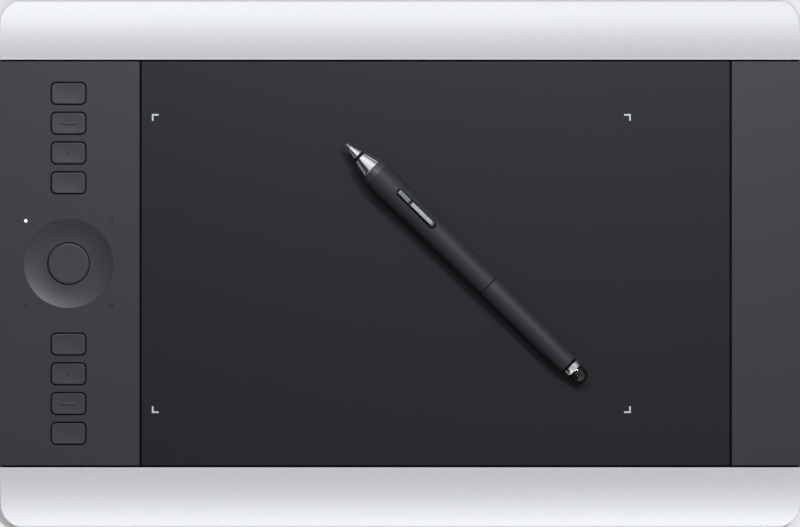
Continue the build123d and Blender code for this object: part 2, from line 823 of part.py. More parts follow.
grip_ridges = 5
grip_ridge_width = 1.0
for kind, name in (("battery", "battery_door"), ("radio", "wireless_door")):
    x_low, x_high, y_low, y_high = bay_limits(kind)
    door_left = x_low - door_margin
    with BuildPart() as door:
        with BuildSketch(Plane.YZ.offset(door_left)):
            door_section(kind, 0)
        extrude(amount=half_length - door_left)
        add(outer_form, mode=Mode.INTERSECT)
        with BuildSketch(Plane.XY.offset(floor_bottom)):
            with Locations((x_high + bay_gap, (y_low + y_high) / 2)):
                with GridLocations(2 * door_margin, 0, grip_ridges, 1):
                    SlotOverall((y_high - y_low) / 2, grip_ridge_width, rotation=90)
        extrude(amount=door_layer / 2, mode=Mode.SUBTRACT)
    save(door.part, name)

# A flat cable is one strip, bent twice, drawn from the side and given its width.
key_ribbon_top = key_board_top + ribbon_thickness
with BuildPart() as key_ribbon:
    with BuildSketch(Plane.XZ.offset(-key_ribbon_y)):
        rectangle_between(
            key_board_right - ribbon_lap,
            ribbon_drop_x + ribbon_thickness,
            key_board_top,
            key_ribbon_top,
        )
        rectangle_between(
            ribbon_drop_x, ribbon_drop_x + ribbon_thickness, main_board_top, key_ribbon_top
        )
        rectangle_between(
            board_right - ribbon_lap,
            ribbon_drop_x + ribbon_thickness,
            main_board_top,
            main_board_top + ribbon_thickness,
        )
    extrude(amount=ribbon_width / 2, both=True)
save(key_ribbon.part, "key_ribbon")

with BuildPart() as sensor_ribbon:
    with BuildSketch(Plane.XZ.offset(-sensor_ribbon_y)):
        rectangle_between(
            sensor_drop_x, sensor_drop_x + ribbon_thickness, main_board_top, digitizer_bottom
        )
        rectangle_between(
            board_right - ribbon_lap,
            sensor_drop_x + ribbon_thickness,
            main_board_top,
            main_board_top + ribbon_thickness,
        )
    extrude(amount=ribbon_width / 2, both=True)
save(sensor_ribbon.part, "sensor_ribbon")

power_drop_x = board_right + ribbon_thickness
battery_left = bay_limits("battery")[0]
radio_left = bay_limits("radio")[0]
branch_x = min(battery_left, radio_left) - 4 * bay_wall
with BuildPart() as power_ribbon:
    with BuildSketch(Plane.XZ):
        rectangle_between(power_drop_x, branch_x, floor_top, floor_top + ribbon_thickness)
        rectangle_between(
            power_drop_x,
            power_drop_x + ribbon_thickness,
            floor_top,
            main_board_top + ribbon_thickness,
        )
        rectangle_between(
            board_right - ribbon_lap,
            power_drop_x + ribbon_thickness,
            main_board_top,
            main_board_top + ribbon_thickness,
        )
    extrude(amount=ribbon_width / 2, both=True)
    with BuildSketch(Plane.XY.offset(floor_top)):
        rectangle_between(
            branch_x - ribbon_width,
            branch_x,
            battery_y - ribbon_width / 2,
            radio_y + ribbon_width / 2,
        )
        for left, middle in ((battery_left, battery_y), (radio_left, radio_y)):
            rectangle_between(
                branch_x - ribbon_width,
                left + bay_gap,
                middle - ribbon_width / 2,
                middle + ribbon_width / 2,
            )
    extrude(amount=ribbon_thickness)
save(power_ribbon.part, "power_ribbon")


# --- Feet and screws ------------------------------------------------------------------

with BuildPart() as feet:
    with BuildSketch(Plane.XY):
        with Locations(*both_sides((-foot_x, foot_x), foot_y)):
            SlotOverall(foot_length, foot_width)
    extrude(amount=floor_bottom + foot_pocket)
    chamfer(feet.edges().group_by(Axis.Z)[0], foot_edge)
save(feet.part, "feet")


with BuildPart() as case_screws:
    with BuildSketch(Plane.XY.offset(head_seat - screw_head_height)):
        with Locations(*both_sides(case_screw_columns, case_screw_y)):
            Circle(screw_head_radius)
    extrude(amount=screw_head_height)
    with BuildSketch(Plane.XY.offset(head_seat)):
        with Locations(*both_sides(case_screw_columns, case_screw_y)):
            Circle(screw_radius)
    extrude(amount=case_screw_length)
    with BuildSketch(Plane.XY.offset(head_seat - screw_head_height)):
        with Locations(*both_sides(case_screw_columns, case_screw_y)):
            Rectangle(screw_head_radius, screw_head_radius / 4)
            Rectangle(screw_head_radius / 4, screw_head_radius)
    extrude(amount=screw_head_height / 2, mode=Mode.SUBTRACT)
save(case_screws.part, "case_screws")

with BuildPart() as inner_screws:
    for height, places in (
        (frame_top, both_sides(frame_screw_columns, frame_screw_y)),
        (main_board_top, standoffs),
    ):
        with BuildSketch(Plane.XY.offset(height)):
            with Locations(*places):
                Circle(inner_head_radius)
        extrude(amount=inner_head_height)
        with BuildSketch(Plane.XY.offset(height - inner_screw_length)):
            with Locations(*places):
                Circle(screw_radius)
        extrude(amount=inner_screw_length)
        with BuildSketch(Plane.XY.offset(height + inner_head_height)):
            with Locations(*places):
                Rectangle(inner_head_radius, inner_head_radius / 4)
                Rectangle(inner_head_radius / 4, inner_head_radius)
        extrude(amount=-inner_head_height / 2, mode=Mode.SUBTRACT)
save(inner_screws.part, "inner_screws")


# --- Pen ------------------------------------------------------------------------------

heading, tilt, roll = (math.radians(angle) for angle in (pen_heading, pen_tilt, pen_roll))
along = Vector(
    math.cos(heading) * math.cos(tilt), math.sin(heading) * math.cos(tilt), -math.sin(tilt)
)
aside = Vector(math.sin(heading), -math.cos(heading), 0)
upward = aside.cross(along)
bulge_height = surface_top + pen_rest_gap + bulge_radius / math.cos(tilt)
pen_tip = Vector(pen_tip_x, pen_tip_y, bulge_height + bulge_at * math.sin(tilt))
# The pen's own section plane: local X runs from tip to tail, local Y towards the side switch.
pen_plane = Plane(
    pen_tip, x_dir=along, z_dir=aside * math.cos(roll) + upward * math.sin(roll)
)
switch_side = pen_plane.y_dir
switch_plane = Plane(pen_tip, x_dir=along, z_dir=switch_side)
pen_axis = Axis(pen_tip, along)


def turned(outline, name):
    """Writes a turned pen piece from its outline of (distance from tip, radius) points."""
    with BuildPart() as piece:
        with BuildSketch(pen_plane):
            with BuildLine():
                Polyline(*outline, close=True)
            make_face()
        revolve(axis=pen_axis)
    save(piece.part, name)


coil_bore = 3.0
spigot_radius = 2.4
spigot_end = 12.0
cone_spigot = chassis_bore - fit_gap
cone_spigot_end = collar_end - pen_gap
nib_bore = nib_radius + 2 * fit_gap
collar_radius = 6.8  # where the collar meets the grip
turned(
    [
        (nose_start, nib_bore),
        (nose_start, 1.15),
        (3.8, 1.5),
        (5.7, 2.3),
        (nose_end, 3.0),
        (nose_end, spigot_radius),
        (spigot_end, spigot_radius),
        (spigot_end, nib_bore),
    ],
    "pen_nose_front",
)
turned(
    [
        (cone_start, spigot_radius + fit_gap),
        (cone_start, 3.5),
        (11.4, 4.3),
        (13.3, 4.9),
        (15.2, 5.45),
        (cone_end, 5.9),
        (cone_end, cone_spigot),
        (cone_spigot_end, cone_spigot),
        (cone_spigot_end, coil_bore),
        (spigot_end + pen_gap, coil_bore),
        (spigot_end + pen_gap, spigot_radius + fit_gap),
    ],
    "pen_nose_cone",
)
turned(
    [
        (cone_end, chassis_radius + fit_gap),
        (cone_end, 5.95),
        (collar_end, collar_radius),
        (collar_end, chassis_radius + fit_gap),
    ],
    "pen_collar",
)

with BuildPart() as pen_grip:
    with BuildSketch(pen_plane):
        with BuildLine():
            Polyline(
                (grip_end, grip_end_radius),
                (grip_end, chassis_radius + fit_gap),
                (collar_end, chassis_radius + fit_gap),
                (collar_end, collar_radius),
            )
            Spline(
                (collar_end, collar_radius),
                (bulge_at, bulge_radius),
                (37.0, 6.72),
                (62.7, 6.25),
                (grip_end, grip_end_radius),
            )
        make_face()
    revolve(axis=pen_axis)
    with BuildSketch(switch_plane.offset(rear_chassis_radius)):
        with Locations((switch_start + switch_length / 2, 0)):
            SlotOverall(switch_length, switch_slot)
    extrude(amount=bulge_radius, mode=Mode.SUBTRACT)
save(pen_grip.part, "pen_grip")

barrel_bore = rear_chassis_radius + fit_gap
barrel_start = grip_end + grip_seam
barrel_start_radius = grip_end_radius - fit_gap
with BuildPart() as pen_barrel:
    with BuildSketch(pen_plane):
        with BuildLine():
            Polyline(
                (barrel_start, barrel_start_radius),
                (barrel_start, barrel_bore),
                (barrel_end, barrel_bore),
                (barrel_end, 5.15),
            )
            Spline((barrel_start, barrel_start_radius), (120.0, 5.7), (142.5, 5.35), (barrel_end, 5.15))
        make_face()
    revolve(axis=pen_axis)
    fillet(pen_barrel.edges().filter_by(GeomType.CIRCLE).group_by(SortBy.RADIUS)[-1], barrel_edge)
save(pen_barrel.part, "pen_barrel")

ring_bore = eraser_stem_radius + 2 * fit_gap
turned(
    [
        (eraser_stem_end, ring_bore),
        (eraser_stem_end, cone_spigot),
        (barrel_end, cone_spigot),
        (barrel_end, tail_ring_radius),
        (ring_end - tail_ring_edge, tail_ring_radius),
        (ring_end, tail_ring_radius - tail_ring_edge),
        (ring_end, ring_bore),
    ],
    "pen_tail_ring",
)

with BuildPart() as pen_eraser:
    with BuildSketch(pen_plane):
        with BuildLine():
            Polyline(
                (eraser_end, 0),
                (eraser_stem_end, 0),
                (eraser_stem_end, eraser_stem_radius),
                (eraser_start, eraser_stem_radius),
                (eraser_start, eraser_radius),
                (eraser_end - eraser_radius, eraser_radius),
            )
            RadiusArc((eraser_end - eraser_radius, eraser_radius), (eraser_end, 0), eraser_radius)
        make_face()
    revolve(axis=pen_axis)
save(pen_eraser.part, "pen_eraser")

with BuildPart() as pen_nib:
    with BuildSketch(pen_plane):
        with BuildLine():
            Polyline((0, 0), (nib_end, 0), (nib_end, nib_radius), (nib_radius, nib_radius))
            RadiusArc((0, 0), (nib_radius, nib_radius), nib_radius)
        make_face()
    revolve(axis=pen_axis)
save(pen_nib.part, "pen_nib")

ferrite_radius = 2.0
sensor_end = 28.0
turned(
    [(13.0, nib_bore), (13.0, ferrite_radius), (20.0, ferrite_radius), (20.0, nib_bore)],
    "pen_ferrite",
)
turned(
    [
        (13.5, ferrite_radius),
        (13.5, coil_bore - fit_gap),
        (19.5, coil_bore - fit_gap),
        (19.5, ferrite_radius),
    ],
    "pen_coil",
)
turned(
    [
        (collar_end, nib_bore),
        (collar_end, cone_spigot),
        (sensor_end, cone_spigot),
        (sensor_end, 0),
        (nib_end + nib_room, 0),
        (nib_end + nib_room, nib_bore),
    ],
    "pen_sensor",
)
turned(
    [
        (eraser_coil_start, eraser_coil_bore),
        (eraser_coil_start, cone_spigot),
        (eraser_coil_end, cone_spigot),
        (eraser_coil_end, eraser_coil_bore),
    ],
    "pen_eraser_coil",
)

pivot = (switch_pivot_at, switch_pivot_height)
with BuildPart() as pen_chassis:
    with BuildSketch(pen_plane):
        with BuildLine():
            Polyline(
                (cone_end, chassis_bore),
                (cone_end, chassis_radius),
                (grip_end, chassis_radius),
                (grip_end, rear_chassis_radius),
                (chassis_end, rear_chassis_radius),
                (chassis_end, chassis_bore),
                close=True,
            )
        make_face()
    revolve(axis=pen_axis)
    with BuildSketch(switch_plane):
        with Locations((switch_start + switch_length / 2, 0)):
            SlotOverall(switch_length, switch_slot)
    extrude(amount=bulge_radius, mode=Mode.SUBTRACT)
    with BuildSketch(pen_plane):
        with Locations(pivot):
            Circle(trunnion_radius + running_gap)
    extrude(amount=bulge_radius, both=True, mode=Mode.SUBTRACT)
save(pen_chassis.part, "pen_chassis")

contact_columns = (switch_start + 4.0, switch_start + switch_length - 5.5)
with BuildPart() as pen_board:
    with BuildSketch(switch_plane.offset(pen_board_bottom)):
        rectangle_between(sensor_end, eraser_coil_start, -pen_board_width / 2, pen_board_width / 2)
    extrude(amount=pen_board_thickness)
save(pen_board.part, "pen_board")

with BuildPart() as pen_switch_domes:
    with BuildSketch(switch_plane.offset(pen_board_bottom + pen_board_thickness)):
        with Locations(*[(s, 0) for s in contact_columns]):
            Rectangle(*contact_size)
    extrude(amount=contact_top - pen_board_bottom - pen_board_thickness)
save(pen_switch_domes.part, "pen_switch_domes")

switch_low = switch_start + switch_gap
switch_high = switch_start + switch_length - switch_gap
rocker_width = switch_slot - 2 * switch_gap
rocker_bottom = contact_top + contact_gap
with BuildPart() as pen_switch:
    with BuildSketch(pen_plane):
        with BuildLine():
            Polyline(
                (switch_low, rocker_bottom),
                (switch_low, 6.6),
                (switch_low + 1.0, 7.05),
                (switch_groove_at - switch_groove / 2, 6.95),
                (switch_groove_at, 6.4),
                (switch_groove_at + switch_groove / 2, 6.95),
                (switch_high - 1.5, 6.75),
                (switch_high, 6.2),
                (switch_high, rocker_bottom),
                close=True,
            )
        make_face()
    extrude(amount=rocker_width / 2, both=True)
    with BuildSketch(switch_plane):
        with Locations(((switch_low + switch_high) / 2, 0)):
            SlotOverall(switch_high - switch_low, rocker_width)
    extrude(amount=2 * bulge_radius, mode=Mode.INTERSECT)
    with BuildSketch(pen_plane):
        with Locations(pivot):
            Circle(trunnion_radius)
    extrude(amount=switch_slot / 2 + switch_gap, both=True)
save(pen_switch.part, "pen_switch")
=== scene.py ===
import json
import math

import bmesh
import bpy
import numpy as np
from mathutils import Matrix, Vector


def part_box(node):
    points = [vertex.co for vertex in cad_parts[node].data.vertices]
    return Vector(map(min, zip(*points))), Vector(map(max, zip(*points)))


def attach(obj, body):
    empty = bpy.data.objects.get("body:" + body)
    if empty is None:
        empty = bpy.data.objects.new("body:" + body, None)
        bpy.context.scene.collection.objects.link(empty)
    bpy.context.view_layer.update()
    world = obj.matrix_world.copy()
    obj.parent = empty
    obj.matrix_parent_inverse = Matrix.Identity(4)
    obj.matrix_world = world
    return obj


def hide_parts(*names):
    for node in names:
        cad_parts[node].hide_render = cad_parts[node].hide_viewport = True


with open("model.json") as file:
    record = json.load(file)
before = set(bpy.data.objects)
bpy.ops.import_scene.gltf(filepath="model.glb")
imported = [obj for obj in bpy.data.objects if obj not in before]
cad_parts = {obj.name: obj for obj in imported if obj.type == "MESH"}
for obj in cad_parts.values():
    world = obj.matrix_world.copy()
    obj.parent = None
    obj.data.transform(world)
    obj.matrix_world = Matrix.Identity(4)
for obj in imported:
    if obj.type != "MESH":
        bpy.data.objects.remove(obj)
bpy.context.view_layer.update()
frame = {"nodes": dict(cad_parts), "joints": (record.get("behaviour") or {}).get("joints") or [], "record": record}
MM = 0.001


# --- Tray ------------------------------------------------------------------------------
# The lower half of the casing is a tray of black polycarbonate, moulded with a fine
# spark-eroded grain. It carries the boards, and two bays in the underside with their doors.


def linear(red, green, blue):
    """A colour written as it shows on a screen, from 0 to 255, as linear light."""
    shown = np.array([red, green, blue]) / 255
    return np.where(shown <= 0.04045, shown / 12.92, ((shown + 0.055) / 1.055) ** 2.4)


def finish(name, colour, roughness, metallic=0.0, specular=0.5, grain=0.35, depth=6e-6,
           mottle=0.06, uneven=0.06, stretch=(1, 1, 1), turn=(0, 0, 0), edge=0.15, worn=0.35):
    """A surface finish. Noise of one grain size, in millimetres, lifts the surface by up to
    depth and drives its roughness by uneven either way. A coarser noise shifts the colour
    by mottle. stretch draws the grain out along an axis, after turning it by turn. Edges
    are rounded by edge millimetres, and rub lighter there by worn."""
    material = bpy.data.materials.new(name)
    material.use_nodes = True
    nodes, links = material.node_tree.nodes, material.node_tree.links
    shader = nodes["Principled BSDF"]
    shader.inputs["Metallic"].default_value = metallic
    shader.inputs["Specular IOR Level"].default_value = specular
    place = nodes.new("ShaderNodeTexCoord")
    mapping = nodes.new("ShaderNodeMapping")
    mapping.inputs["Rotation"].default_value = turn
    mapping.inputs["Scale"].default_value = stretch
    links.new(place.outputs["Object"], mapping.inputs["Vector"])
    fine = nodes.new("ShaderNodeTexNoise")
    fine.inputs["Scale"].default_value = 1 / (grain * MM)
    fine.inputs["Detail"].default_value = 3
    links.new(mapping.outputs["Vector"], fine.inputs["Vector"])

    rounding = nodes.new("ShaderNodeBevel")
    rounding.samples = 4
    rounding.inputs["Radius"].default_value = edge * MM
    bump = nodes.new("ShaderNodeBump")
    bump.inputs["Distance"].default_value = depth
    links.new(fine.outputs["Fac"], bump.inputs["Height"])
    links.new(rounding.outputs["Normal"], bump.inputs["Normal"])
    links.new(bump.outputs["Normal"], shader.inputs["Normal"])

    gloss = nodes.new("ShaderNodeMapRange")
    gloss.inputs["From Min"].default_value, gloss.inputs["From Max"].default_value = 0.3, 0.7
    gloss.inputs["To Min"].default_value = max(0.02, roughness - uneven)
    gloss.inputs["To Max"].default_value = min(1, roughness + uneven)
    links.new(fine.outputs["Fac"], gloss.inputs["Value"])
    links.new(gloss.outputs["Result"], shader.inputs["Roughness"])

    coarse = nodes.new("ShaderNodeTexNoise")
    coarse.inputs["Scale"].default_value = 1 / (grain * 40 * MM)
    links.new(mapping.outputs["Vector"], coarse.inputs["Vector"])
    shade = nodes.new("ShaderNodeMix")
    shade.data_type = "RGBA"
    shade.inputs["A"].default_value = (*(colour * (1 - mottle)), 1)
    shade.inputs["B"].default_value = (*(colour * (1 + mottle)), 1)
    links.new(coarse.outputs["Fac"], shade.inputs["Factor"])

    geometry = nodes.new("ShaderNodeNewGeometry")
    turned = nodes.new("ShaderNodeVectorMath")
    turned.operation = "DOT_PRODUCT"
    links.new(rounding.outputs["Normal"], turned.inputs[0])
    links.new(geometry.outputs["Normal"], turned.inputs[1])
    rubbed = nodes.new("ShaderNodeMapRange")
    rubbed.inputs["From Min"].default_value, rubbed.inputs["From Max"].default_value = 0.995, 0.8
    links.new(turned.outputs["Value"], rubbed.inputs["Value"])
    lighter = nodes.new("ShaderNodeMix")
    lighter.data_type = "RGBA"
    lighter.inputs["B"].default_value = (*(colour + (1 - colour) * worn * 0.1), 1)
    links.new(rubbed.outputs["Result"], lighter.inputs["Factor"])
    links.new(shade.outputs["Result"], lighter.inputs["A"])
    links.new(lighter.outputs["Result"], shader.inputs["Base Color"])
    return material


def wear(material, *names):
    """Puts a finish on nodes that are shown as they come from the frame."""
    for name in names:
        for holder in frame["nodes"][name].material_slots:
            holder.material = material


tray_black = finish("tray_black", linear(34, 34, 37), 0.62, grain=0.5, depth=1.2e-5)
wear(tray_black, "bottom_cover", "battery_door", "wireless_door")
# Black for the frame and the pen's inner chassis. The same material is also used further down as painted shade in
# the gaps round the keys, the ring button, the pen's rocker and its tail ring.
black_chassis_and_shade = finish("black_chassis_and_shade", linear(7, 7, 8), 0.7, specular=0.1)
wear(black_chassis_and_shade, "mid_frame", "pen_chassis")

# Four long pads of synthetic rubber are glued into pockets in the tray.
pad_rubber = finish("pad_rubber", linear(40, 40, 42), 0.85, specular=0.3, grain=0.8,
                    depth=2e-5)
wear(pad_rubber, "feet")

# Zinc-plated steel screws close the casing from below and hold the boards inside.
zinc = finish("zinc_plate", linear(168, 170, 174), 0.32, metallic=1.0, grain=0.15)
wear(zinc, "case_screws", "inner_screws", "key_domes", "pen_switch_domes")


# --- Inside ----------------------------------------------------------------------------
# Glass-epoxy boards under solder mask, moulded chips, polyimide flat cables, a foil-wrapped
# cell and the sheet-steel screen behind the pen sensor.

wear(finish("solder_mask", linear(18, 74, 48), 0.38, grain=0.6, mottle=0.15),
     "digitizer_board", "main_board", "key_board", "pen_board")
wear(finish("moulded_epoxy", linear(30, 30, 31), 0.55, grain=0.12),
     "main_board_chips", "status_leds", "power_switch", "usb_tongue", "wireless_module",
     "pen_sensor")
wear(finish("polyimide", linear(176, 108, 38), 0.3, grain=0.9, mottle=0.12),
     "key_ribbon", "sensor_ribbon", "power_ribbon", "ring_sensor")
wear(finish("cell_foil", linear(176, 178, 182), 0.34, metallic=0.9, grain=1.4), "battery")
rolled_steel = finish("rolled_steel", linear(150, 152, 156), 0.36, metallic=1.0,
                      stretch=(1, 14, 1))
wear(rolled_steel, "shield_plate")
wear(finish("clear_sheet", linear(70, 71, 74), 0.2, grain=1.0), "surface_plate", "touch_film")
wear(finish("enamelled_copper", linear(168, 92, 52), 0.3, metallic=0.9, grain=0.1),
     "pen_coil", "pen_eraser_coil")
wear(finish("sintered_ferrite", linear(52, 52, 55), 0.6, grain=0.2), "pen_ferrite")


# --- Rails -----------------------------------------------------------------------------
# The two rails are moulded shells with a long crowned section that falls to a round nose.
# They are sprayed in satin silver with a fine metal flake.

RAIL_WALL = 1.2 * MM
END_ROUND = 0.8 * MM
SEAM = 0.8 * MM
SEAM_ROUND = 0.35 * MM
NOSE_RADIUS = 2.4 * MM
CORNER_RADIUS = 12 * MM
LIP_DEPTH = 2.6 * MM


def skin(name, grids, closed_u=False, closed_v=False, sharp=32):
    """One mesh from grids of points: in each, neighbours along u and v are joined by
    four-sided faces. Points that fall together are merged, so poles and seams close."""
    places, faces, first = [], [], 0
    for points in grids:
        count_u, count_v = points.shape[:2]
        u, v = np.meshgrid(np.arange(count_u if closed_u else count_u - 1),
                           np.arange(count_v if closed_v else count_v - 1), indexing="ij")
        u, v = u.ravel(), v.ravel()
        next_u, next_v = (u + 1) % count_u, (v + 1) % count_v
        faces.append(first + np.stack([u * count_v + v, next_u * count_v + v,
                                       next_u * count_v + next_v, u * count_v + next_v], 1))
        places.append(points.reshape(-1, 3))
        first += count_u * count_v
    mesh = bpy.data.meshes.new(name)
    mesh.from_pydata(np.concatenate(places).tolist(), [], np.concatenate(faces).tolist())
    work = bmesh.new()
    work.from_mesh(mesh)
    bmesh.ops.remove_doubles(work, verts=work.verts, dist=1e-6)
    bmesh.ops.dissolve_degenerate(work, edges=work.edges, dist=1e-7)
    bmesh.ops.recalc_face_normals(work, faces=work.faces)
    work.to_mesh(mesh)
    work.free()
    mesh.shade_smooth()
    mesh.set_sharp_from_angle(angle=math.radians(sharp))
    piece = bpy.data.objects.new(name, mesh)
    bpy.context.scene.collection.objects.link(piece)
    return piece


def paint_shade_below(piece, height, material, up=(0, 0, 1)):
    """Paints shade into the faces below a height along up, out of the light in a gap: they get a second, darker
    finish.
    """
    piece.data.materials.append(material)
    middles = np.empty(len(piece.data.polygons) * 3)
    piece.data.polygons.foreach_get("center", middles)
    shaded_faces = middles.reshape(-1, 3) @ np.array(up) < height
    piece.data.polygons.foreach_set("material_index", shaded_faces.astype(int))


def stand_for(piece, material, node):
    """Shows a piece in place of a frame node, on the body that the node belongs to."""
    piece.data.materials.append(material)
    bodies = frame["record"]["behaviour"]["bodies"]
    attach(piece, next(body for body, members in bodies.items() if node in members))
    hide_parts(node)


def arc(centre, radius, start, end, steps):
    """Points on a circle from one angle to another, in degrees."""
    angle = np.radians(np.linspace(start, end, steps))
    return np.stack([centre[0] + radius * np.cos(angle), centre[1] + radius * np.sin(angle)], 1)


def rail_section(low, high):
    """The rail's outer line as (y, z), from the foot of its lip on the seam, over the crown
    and round the nose to the parting line. The crown is an arc that leaves the deck level
    and meets the nose arc without a break."""
    run = high.y - NOSE_RADIUS - (low.y - SEAM / 2)
    slope = 2 * math.atan((high.z - low.z - NOSE_RADIUS) / run)
    radius = NOSE_RADIUS + run / math.sin(slope)
    crown_centre = (low.y - SEAM / 2, high.z - radius)
    level = math.degrees(math.acos((SEAM / 2 + SEAM_ROUND) / radius))
    tilt = 90 - math.degrees(slope)
    return np.concatenate([
        [(low.y, high.z - LIP_DEPTH)],
        arc((low.y + SEAM_ROUND, high.z - SEAM_ROUND), SEAM_ROUND, 180, 92, 8),
        arc(crown_centre, radius, level, tilt, 48),
        arc((high.y - NOSE_RADIUS, low.z), NOSE_RADIUS, tilt, 0, 14)[1:],
        [(high.y - RAIL_WALL, low.z)],
    ])


def rail_points(low, high):
    """The rail's skin: its section is carried along X to the casing's rounded plan outline,
    rolls over an edge of END_ROUND there, and goes straight down to the parting line."""
    section = rail_section(low, high)
    y, z = section[:, 0], section[:, 1]
    past_corner = np.clip(y - (high.y - CORNER_RADIUS), 0, CORNER_RADIUS)
    reach = high.x - CORNER_RADIUS + np.sqrt(CORNER_RADIUS ** 2 - past_corner ** 2)
    edge = np.minimum(END_ROUND, np.clip(z - low.z, 0, None) / 2)
    turn = np.radians(np.linspace(0, 90, 7))
    ends_x = reach[:, None] - edge[:, None] * (1 - np.cos(turn))
    ends_z = z[:, None] - edge[:, None] * (1 - np.sin(turn))
    middle_x = (reach - edge)[:, None] * np.sin(np.radians(np.linspace(90, -90, 64)[1:-1]))
    x = np.concatenate([reach[:, None], ends_x, middle_x, -ends_x[:, ::-1], -reach[:, None]], 1)
    foot = np.full((len(y), 1), low.z)
    heights = np.concatenate([foot, ends_z, np.repeat(z[:, None], middle_x.shape[1], 1),
                              ends_z[:, ::-1], foot], 1)
    return np.stack([x, np.repeat(y[:, None], x.shape[1], 1), heights], axis=2)


silver = finish("satin_silver", linear(236, 238, 243), 0.3, metallic=0.8, grain=0.12,
                depth=1.5e-6, mottle=0.01, uneven=0.05, worn=0)
rear_points = rail_points(*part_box("rear_rail"))
for rail_name, mirror in (("rear_rail", 1), ("front_rail", -1)):
    rail = skin(f"{rail_name}_shell", [rear_points * (1, mirror, 1)])
    wall = rail.modifiers.new("wall", "SOLIDIFY")
    wall.thickness = RAIL_WALL
    wall.offset = -1
    stand_for(rail, silver, rail_name)


# --- Deck panels -----------------------------------------------------------------------
# Two covers of dark grey ABS close the deck at its ends. Their fine matt grain is softer
# than the tray's, so that the hand slides over it.

panel_grey = finish("panel_grey", linear(30, 31, 35), 0.47, specular=0.17, grain=0.22,
                    depth=5e-6, mottle=0.04, worn=0)
wear(panel_grey, "control_panel", "end_panel")


# --- Drawing surface -------------------------------------------------------------------
# A replaceable polyester sheet with the tooth of paper. Four white light guides show
# through it and mark the corners of the area that the pen works on.

wear(finish("drawing_sheet", linear(11, 12, 16), 0.45, specular=0.13, grain=0.28, depth=9e-6,
            mottle=0.04, worn=0), "surface_sheet")


def lamp_finish(name, colour, strength):
    """A translucent window with a lamp behind it."""
    material = finish(name, colour, 0.4, grain=0.3)
    shader = material.node_tree.nodes["Principled BSDF"]
    shader.inputs["Emission Color"].default_value = (*colour, 1)
    shader.inputs["Emission Strength"].default_value = strength
    return material


wear(lamp_finish("marker_light", linear(132, 134, 138), 0.1), "corner_lights")


# --- Keys ------------------------------------------------------------------------------
# Eight caps of the panel's plastic, dished a little for the finger. The second from each
# end has a raised bar and the third a raised dot, so that they are found by touch. A flange
# below the panel keeps each cap in.

PANEL_WALL = 1.6 * MM
KEY_RADIUS = 2.1 * MM
KEY_EDGE = 0.4 * MM
KEY_DISH = 0.2 * MM
FLANGE = 1.2 * MM
FLANGE_THICKNESS = 0.6 * MM
KEY_MARKS = {2: (7.7 * MM, 1.6 * MM), 7: (7.7 * MM, 1.6 * MM),
             3: (1.6 * MM, 1.6 * MM), 6: (1.6 * MM, 1.6 * MM)}
MARK_HEIGHT = 0.25 * MM


def cap_points(centre, size, radius, section, per_corner=10, per_side=14):
    """A cap: a section of (distance in from the outline, height) pairs goes round a rounded
    rectangle. Past the corner radius the corners move in along with the sides, until the
    two long sides meet on a ridge."""
    half = np.array(size) / 2
    signs = np.array([(1, 1), (-1, 1), (-1, -1), (1, -1)])
    corners, angles = [], []
    for k in range(4):
        corners += [signs[k]] * per_corner
        angles += list(np.linspace(90 * k, 90 * k + 90, per_corner))
        for share in np.linspace(0, 1, per_side)[1:-1]:
            corners.append(signs[k] * (1 - share) + signs[(k + 1) % 4] * share)
            angles.append(90 * k + 90)
    angles = np.radians(angles)
    outward = np.stack([np.cos(angles), np.sin(angles)], 1)
    inset, height = np.array(section).T
    room = half - radius - np.clip(inset - radius, 0, None)[:, None]
    plan = (np.array(corners)[None] * np.clip(room, 0, None)[:, None]
            + outward[None] * np.clip(radius - inset, 0, None)[:, None, None]
            + np.array(centre))
    return np.concatenate([plan, np.repeat(height[:, None, None], plan.shape[1], 1)], axis=2)


def rolled_edge(start, top, edge, steps=6):
    """Section of a rounded top edge, from start millimetres in: in by edge, up to top."""
    turn = np.radians(np.linspace(0, 90, steps))
    return [(start + edge * (1 - math.cos(a)), top - edge * (1 - math.sin(a))) for a in turn]


def key_points(middle, size, top, flange_top):
    """A key cap: its flange, its side, its rounded edge, and a top that is dished as
    KEY_DISH (1 - u^2)(1 - v^2) over its width and depth."""
    section = [(-FLANGE, flange_top - FLANGE_THICKNESS), (-FLANGE, flange_top),
               (0, flange_top), *rolled_edge(0, top, KEY_EDGE),
               *[(inset, top) for inset in np.linspace(KEY_EDGE, size[1] / 2, 14)[1:]]]
    points = cap_points(middle, size, KEY_RADIUS, section)
    flat = np.array(size) / 2 - KEY_EDGE
    share = np.clip(np.abs(points[..., :2] - middle) / flat, 0, 1)
    on_top = points[..., 2] > top - 1e-9
    points[..., 2] -= on_top * KEY_DISH * np.prod(1 - share ** 2, axis=2)
    return points


key_grey = finish("key_grey", linear(35, 36, 40), 0.45, specular=0.18, grain=0.22,
                  depth=4e-6, mottle=0.03, edge=0.05, worn=0)
key_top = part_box("key_1")[1].z
deck_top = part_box("touch_ring")[1].z
flange_top = deck_top - PANEL_WALL
for number in range(1, 9):
    low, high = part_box(f"key_{number}")
    middle = np.array([(low.x + high.x) / 2, (low.y + high.y) / 2])
    size = (high.x - low.x - 2 * FLANGE, high.y - low.y - 2 * FLANGE)
    grids = [key_points(middle, size, key_top, flange_top)]
    if number in KEY_MARKS:
        mark = KEY_MARKS[number]
        radius = mark[1] / 2
        share = np.linspace(0, 1, 9)
        domed = key_top - KEY_DISH + (MARK_HEIGHT + KEY_DISH) * np.sqrt(1 - (1 - share) ** 2)
        grids.append(cap_points(middle, mark, radius, list(zip(share * radius, domed))))
    cap = skin(f"key_cap_{number}", grids, closed_v=True)
    stand_for(cap, key_grey, f"key_{number}")
    # The cap's sides and flange, down in the gap round the key, are painted black as painted shade.
    paint_shade_below(cap, key_top - KEY_EDGE * 2, black_chassis_and_shade)


# --- Touch ring ------------------------------------------------------------------------
# A fixed ring, dished like a bowl, feels the finger going round it. It sits flush in the
# panel. The round button in its middle is pressed like a key, and has a flange under the
# ring's inner lip.

